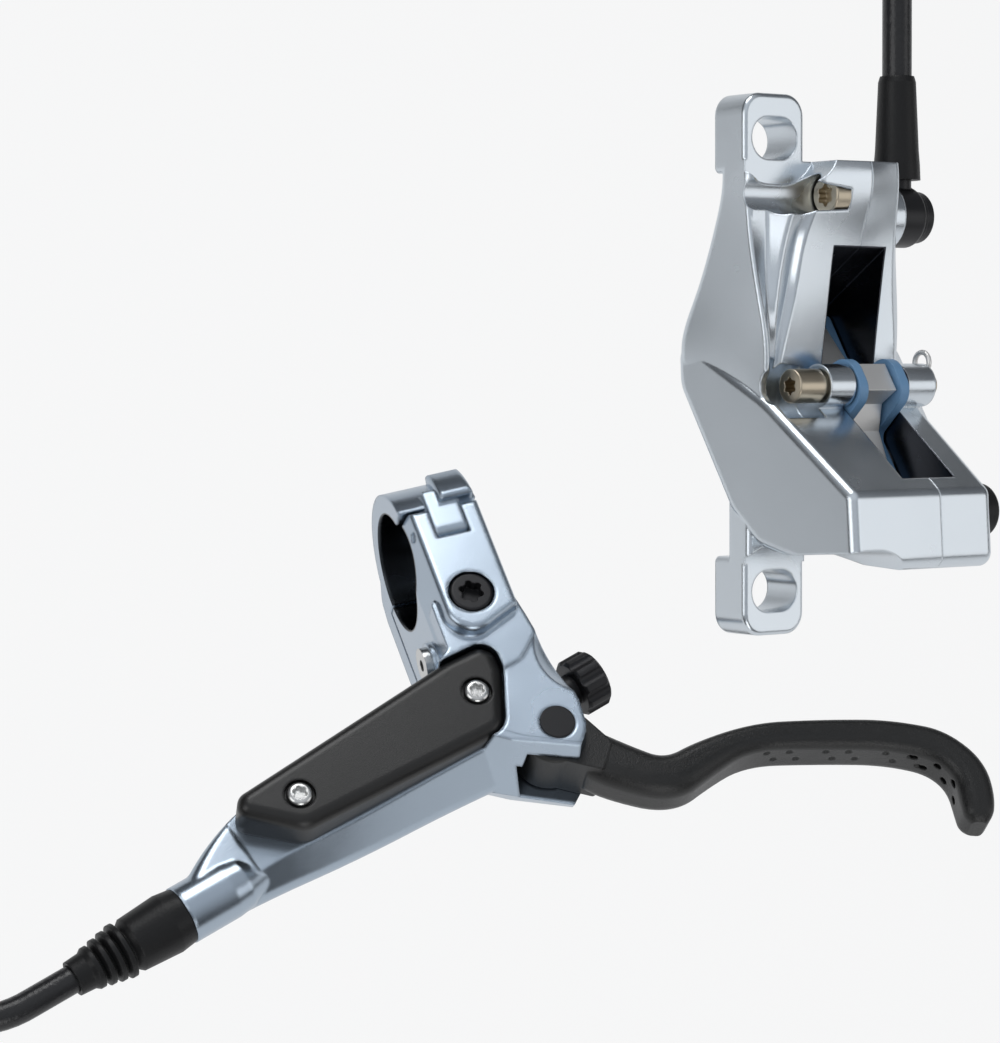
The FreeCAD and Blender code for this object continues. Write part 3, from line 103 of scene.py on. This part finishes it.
floor.data.materials.append(paper)


# Studio light
# A sky that is dark above the horizon, which draws the dark streaks on polished metal, and that the camera
# sees as a pale wall. Three wide soft boxes stand around the brake. A smaller one hangs close behind and
# above it, so that its reflection fades along the flat tops of the lever.
def blend(tree, share, first, second):
    """Colour between two colours, by the share of the second."""
    node = tree.nodes.new("ShaderNodeMix")
    node.data_type = "RGBA"
    feed(tree, share, node.inputs["Factor"])
    feed(tree, first, node.inputs["A"])
    feed(tree, second, node.inputs["B"])
    return node.outputs["Result"]


sky = bpy.data.worlds.new("studio_sky")
sky.use_nodes = True
bpy.context.scene.world = sky
tree = sky.node_tree
direction = tree.nodes.new("ShaderNodeTexCoord")
height = tree.nodes.new("ShaderNodeSeparateXYZ")
tree.links.new(direction.outputs["Generated"], height.inputs["Vector"])
bands = tree.nodes.new("ShaderNodeValToRGB")
horizon = bands.color_ramp.elements[0]
horizon.position = 0.0
horizon.color = (0.05, 0.052, 0.055, 1)
zenith = bands.color_ramp.elements[1]
zenith.position = 0.95
zenith.color = (0.66, 0.69, 0.73, 1)
dark_band_top = bands.color_ramp.elements.new(0.4)
dark_band_top.color = (0.09, 0.095, 0.105, 1)
tree.links.new(height.outputs["Z"], bands.inputs["Fac"])
pale_wall = (0.98, 0.985, 0.99, 1)
wall_share = seen_share(tree, by_camera=1.0, in_metal=0.05)
background = tree.nodes["Background"]
background.inputs["Strength"].default_value = 0.9
tree.links.new(blend(tree, wall_share, bands.outputs["Color"], pale_wall), background.inputs["Color"])

light_aim = Vector((0, -0.03, 0.03))
soft_boxes = [("top_box", (0.03, 0.342, 0.43), 0.30, 0.85), ("side_box", (0.95, -0.60, 0.50), 0.8, 1.5),
              ("left_box", (-0.95, -0.15, 0.75), 0.8, 2.4), ("front_box", (-0.15, -1.15, 0.35), 0.7, 2.4)]
for name, place, width, power in soft_boxes:
    bpy.ops.object.light_add(type="AREA", location=place)
    lamp = bpy.context.object
    lamp.name = name
    lamp.data.shape = "DISK"
    lamp.data.size = width
    lamp.data.energy = power
    lamp.rotation_euler = (light_aim - Vector(place)).to_track_quat("-Z", "Y").to_euler()


# Lever body and clamp band
# One forging each, of aluminium, polished bright and clear anodised with a cool blue tone. The bore for the
# bar is coloured dark. The band hinges above the bar, and a bolt in front of the bar draws its lug up.
def finish(name, colour, metallic, roughness, spread, grain, relief, edge):
    """Finish with clouded gloss and tone, a fine grain, and edges rounded as by polishing.

    The gloss clouds by the spread to both sides. The grain is a noise scale with its relief as the bump's
    strength, and the edge is the radius of the rounding in metres.
    """
    cloud_dark = 0.9
    cloud_light = 1.06
    material = bpy.data.materials.new(name)
    material.use_nodes = True
    tree = material.node_tree
    shader = tree.nodes["Principled BSDF"]
    shader.inputs["Metallic"].default_value = metallic
    place = tree.nodes.new("ShaderNodeTexCoord")
    cloud = tree.nodes.new("ShaderNodeTexNoise")
    cloud.inputs["Scale"].default_value = 70.0
    cloud.inputs["Detail"].default_value = 5.0
    tree.links.new(place.outputs["Object"], cloud.inputs["Vector"])
    gloss = tree.nodes.new("ShaderNodeMapRange")
    gloss.inputs["From Min"].default_value = 0.3
    gloss.inputs["From Max"].default_value = 0.7
    gloss.inputs["To Min"].default_value = roughness - spread
    gloss.inputs["To Max"].default_value = roughness + spread
    tree.links.new(cloud.outputs["Fac"], gloss.inputs["Value"])
    tree.links.new(gloss.outputs["Result"], shader.inputs["Roughness"])
    darker = (*[channel * cloud_dark for channel in colour], 1)
    lighter = (*[channel * cloud_light for channel in colour], 1)
    tree.links.new(blend(tree, cloud.outputs["Fac"], darker, lighter), shader.inputs["Base Color"])
    speck = tree.nodes.new("ShaderNodeTexNoise")
    speck.inputs["Scale"].default_value = grain
    speck.inputs["Detail"].default_value = 2.0
    tree.links.new(place.outputs["Object"], speck.inputs["Vector"])
    rounding = tree.nodes.new("ShaderNodeBevel")
    rounding.samples = 6
    rounding.inputs["Radius"].default_value = edge
    bump = tree.nodes.new("ShaderNodeBump")
    bump.inputs["Strength"].default_value = relief
    bump.inputs["Distance"].default_value = 0.0001
    tree.links.new(rounding.outputs["Normal"], bump.inputs["Normal"])
    tree.links.new(speck.outputs["Fac"], bump.inputs["Height"])
    tree.links.new(bump.outputs["Normal"], shader.inputs["Normal"])
    return material


def darken_inside(material, inside, colour):
    """Colours what lies inside a mask dark: painted shade in the caliper's pad slot, and a dark bore in the
    lever.
    """
    tree = material.node_tree
    base_colour = tree.nodes["Principled BSDF"].inputs["Base Color"]
    polished = base_colour.links[0].from_socket
    tree.links.new(blend(tree, inside, polished, colour), base_colour)


def dress(material, *names):
    """Gives CAD nodes a finish."""
    for name in names:
        nodes[name].data.materials.clear()
        nodes[name].data.materials.append(material)


bar_radius = 0.0111
bore_margin = 0.00025
lever_alloy = finish("lever_alloy", colour=(0.45, 0.525, 0.61), metallic=1.0, roughness=0.24, spread=0.04,
                     grain=2600.0, relief=0.05, edge=0.001)
tree = lever_alloy.node_tree
place = tree.nodes.new("ShaderNodeTexCoord")
across_bar = tree.nodes.new("ShaderNodeVectorMath")
across_bar.operation = "MULTIPLY"
across_bar.inputs[1].default_value = (0, 1, 1)
tree.links.new(place.outputs["Object"], across_bar.inputs[0])
from_bar = tree.nodes.new("ShaderNodeVectorMath")
from_bar.operation = "LENGTH"
tree.links.new(across_bar.outputs["Vector"], from_bar.inputs[0])
# The bore for the bar is coloured dark.
in_bore = reckon(tree, "LESS_THAN", from_bar.outputs["Value"], bar_radius + bore_margin)
darken_inside(lever_alloy, in_bore, (0.07, 0.078, 0.088, 1))
dress(lever_alloy, "lever_body", "clamp_band")


# Clamp pin and clamp bolt
# The band's hinge pin is a bright ground dowel pressed into the body. The bolt is black oxide steel with
# a six-lobed socket, sunk in a counterbore.
bright_steel = finish("bright_steel", colour=(0.62, 0.62, 0.61), metallic=1.0, roughness=0.24, spread=0.05,
                      grain=4000.0, relief=0.08, edge=0.0002)
black_steel = finish("black_steel", colour=(0.022, 0.022, 0.024), metallic=0.5, roughness=0.36, spread=0.06,
                     grain=4000.0, relief=0.12, edge=0.0003)
dress(bright_steel, "clamp_hinge_pin")
dress(black_steel, "clamp_bolt")


# Master piston, seals, spring and stop ring
# A hard anodised piston with two rubber cup seals runs in the bore against a steel spring, and a spring
# ring in a groove keeps it in.
piston_alloy = finish("piston_alloy", colour=(0.5, 0.51, 0.53), metallic=1.0, roughness=0.35, spread=0.05,
                      grain=3000.0, relief=0.1, edge=0.0002)
rubber = finish("black_rubber", colour=(0.009, 0.009, 0.0095), metallic=0.0, roughness=0.42, spread=0.07,
                grain=2200.0, relief=0.35, edge=0.0004)
rubber.node_tree.nodes["Principled BSDF"].inputs["Specular IOR Level"].default_value = 0.3
dress(piston_alloy, "master_piston")
dress(rubber, "primary_seal", "secondary_seal")
dress(bright_steel, "piston_return_spring", "piston_stop_ring")


# Reservoir cover, bladder and screws
# The lid is machined aluminium, bead blasted and anodised satin black. It clamps a rubber bladder on the
# rim with two bright six-lobed screws. A silver bleed screw sits in the cheek beside it.
cover_black = finish("cover_black", colour=(0.0095, 0.009, 0.0085), metallic=0.0, roughness=0.34, spread=0.04,
                     grain=5200.0, relief=0.22, edge=0.0006)
dress(cover_black, "reservoir_cover")
dress(rubber, "reservoir_bladder")
dress(bright_steel, "cover_screws", "lever_bleed_screw")


# Lever blade, its pivot and the reach knob
# The blade is forged aluminium, blasted and anodised black, with a slightly coarser grain than the lid.
# It turns on a capped black pivot in two brass bushes and pushes a steel rod through a turning barrel.
blade_black = finish("blade_black", colour=(0.010, 0.0098, 0.0094), metallic=0.0, roughness=0.33, spread=0.06,
                     grain=4200.0, relief=0.75, edge=0.0005)
brass = finish("brass", colour=(0.66, 0.5, 0.24), metallic=1.0, roughness=0.3, spread=0.05,
               grain=3000.0, relief=0.1, edge=0.0002)
dress(blade_black, "lever_blade")
dress(black_steel, "pivot_pin", "reach_knob")
dress(brass, "pivot_bushings")
dress(bright_steel, "trunnion", "pushrod")


# Hose fitting at the lever
# A steel nut presses a brass olive on the hose, which has a steel barb in its end. A moulded rubber boot
# with four ribs covers the nut.
dress(bright_steel, "compression_nut", "hose_barb")
dress(brass, "olive")
dress(rubber, "lever_hose_boot")


# Caliper halves
# Two aluminium forgings, polished on the outside and clear anodised, more neutral in tone than the
# lever. They are bolted face to face over the rotor. The walls of the pad slot get painted shade, a dark
# colour.
slot_centre = (0.05295, -0.03123, 0.0772)
slot_turn = (radians(4.822), radians(21.753), radians(2.015))
slot_half_width = 0.00585
slot_half_length = 0.0204
caliper_alloy = finish("caliper_alloy", colour=(0.70, 0.752, 0.80), metallic=1.0, roughness=0.25, spread=0.04,
                       grain=2600.0, relief=0.05, edge=0.00045)
tree = caliper_alloy.node_tree
place = tree.nodes.new("ShaderNodeTexCoord")
slot_place = tree.nodes.new("ShaderNodeMapping")
slot_place.vector_type = "TEXTURE"
slot_place.inputs["Location"].default_value = slot_centre
slot_place.inputs["Rotation"].default_value = slot_turn
tree.links.new(place.outputs["Object"], slot_place.inputs["Vector"])
from_centre = tree.nodes.new("ShaderNodeSeparateXYZ")
tree.links.new(slot_place.outputs["Vector"], from_centre.inputs["Vector"])
sideways = reckon(tree, "ABSOLUTE", from_centre.outputs["X"])
lengthways = reckon(tree, "ABSOLUTE", from_centre.outputs["Y"])
in_slot = reckon(tree, "MULTIPLY", reckon(tree, "LESS_THAN", sideways, slot_half_width),
                 reckon(tree, "LESS_THAN", lengthways, slot_half_length))
# Painted shade: inside the pad slot the colour is made dark, standing in for the shade there.
darken_inside(caliper_alloy, in_slot, (0.09, 0.095, 0.11, 1))
dress(caliper_alloy, "caliper_outboard_body", "caliper_inboard_body")


# Body bolts, pistons and seals of the caliper
# Yellow passivated steel bolts hold the halves. Four anodised cup pistons run in square rubber seals, and
# a ring seals the passage between the halves.
gold_steel = finish("gold_steel", colour=(0.55, 0.48, 0.37), metallic=1.0, roughness=0.3, spread=0.06,
                    grain=4000.0, relief=0.1, edge=0.0002)
dress(gold_steel, "caliper_body_bolts")
dress(piston_alloy, "outboard_pistons", "inboard_pistons")
dress(rubber, "outboard_piston_seals", "inboard_piston_seals", "transfer_seal")


# Brake pads, spring and pin
# Stamped steel backing plates, coated blue, with a block of pressed friction material bonded on each.
# A bright leaf spring rides on the pin between them. The pin screws in and a wire clip locks it.
blue_coat = finish("blue_coat", colour=(0.17, 0.33, 0.54), metallic=0.1, roughness=0.42, spread=0.06,
                   grain=2500.0, relief=0.2, edge=0.0003)
friction = finish("friction_block", colour=(0.30, 0.26, 0.17), metallic=0.4, roughness=0.6, spread=0.1,
                  grain=1500.0, relief=0.9, edge=0.0003)
spring_steel = finish("spring_steel", colour=(0.85, 0.84, 0.82), metallic=0.8, roughness=0.42, spread=0.06,
                      grain=3000.0, relief=0.15, edge=0.0002)
dress(blue_coat, "outboard_pad_plate", "inboard_pad_plate")
dress(friction, "outboard_pad_lining", "inboard_pad_lining")
dress(spring_steel, "pad_spring", "pin_clip")
dress(gold_steel, "pad_pin")


# Hose end and bleed screw of the caliper
# A black banjo eye between two soft washers, held by a hollow bolt, with a smooth rubber boot over the
# hose's end. The bleed screw hides under a rubber cap.
dress(black_steel, "banjo_fitting", "banjo_bolt", "banjo_washers")
dress(rubber, "caliper_hose_boot", "bleed_cap")
dress(bright_steel, "caliper_bleed_screw")


# Brake hose
# A black plastic hose of five millimetres with a braid that shows faintly through its jacket. It leaves
# the lever's boot, runs round in one wide bow and ends in the boot at the caliper.
hose_route = [(-0.05654, -0.05374, 0.0005), (-0.08084, -0.06094, 0.0005), (-0.10961, -0.06946, 0.0005),
              (-0.150, -0.031, 0.005), (-0.140, 0.028, 0.026), (-0.105, 0.077, 0.052), (-0.051, 0.097, 0.084),
              (0.006, 0.092, 0.108), (0.045, 0.070, 0.124), (0.08298, 0.04043, 0.11799),
              (0.0766, 0.01491, 0.09976), (0.07381, 0.00375, 0.09179)]
hose_radius = 0.0025
hose_curve = bpy.data.curves.new("brake_hose_line", "CURVE")
hose_curve.dimensions = "3D"
line = hose_curve.splines.new("NURBS")
line.points.add(len(hose_route) - 1)
for point, place in zip(line.points, hose_route):
    point.co = (*place, 1)
line.order_u = 3
line.use_endpoint_u = True
line.resolution_u = 16
hose_curve.bevel_depth = hose_radius
hose_curve.bevel_resolution = 6
hose_curve.use_fill_caps = True
hose = bpy.data.objects.new("brake_hose_jacket", hose_curve)
bpy.context.scene.collection.objects.link(hose)
jacket = finish("hose_jacket", colour=(0.012, 0.012, 0.0135), metallic=0.0, roughness=0.32, spread=0.05,
                grain=1100.0, relief=0.8, edge=0.0003)
hose.data.materials.append(jacket)
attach(hose, "root")
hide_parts("brake_hose")
